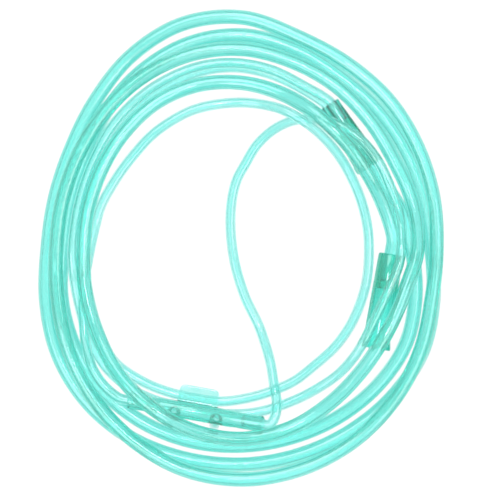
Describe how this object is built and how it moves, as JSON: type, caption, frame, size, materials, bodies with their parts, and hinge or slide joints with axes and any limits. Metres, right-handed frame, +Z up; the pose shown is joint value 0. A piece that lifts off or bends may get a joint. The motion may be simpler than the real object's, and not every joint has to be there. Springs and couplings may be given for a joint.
{
  "type": "nasal oxygen cannula",
  "caption": "Loosely coiled clear nasal oxygen cannula: curved two-prong nasal piece with a lip tab, thin tubes to a Y connector, and a supply tube with a flared end connector.",
  "frame": {"origin": "centre of the coil's bounding box on the level surface it lies on", "axes": "+Z up from the surface, +Y along the coil's longer width, from the nasal piece towards the top of the coil, +X towards the end connector"},
  "size_m": [0.1516, 0.177, 0.0209],
  "materials": {
    "small_tubing": "clear soft vinyl with a pale green tint, gloss",
    "supply_tubing": "clear soft vinyl with a pale green tint, gloss",
    "moulding": "clear soft moulded vinyl, green tint, satin gloss",
    "funnel": "soft moulded vinyl, deeper green tint, satin gloss"
  },
  "bodies": {
    "root": {"nasal_piece": "moulding", "small_tube_right": "small_tubing", "small_tube_left": "small_tubing", "y_connector": "moulding", "supply_tube": "supply_tubing", "end_connector": "funnel"}
  },
  "joints": []
}
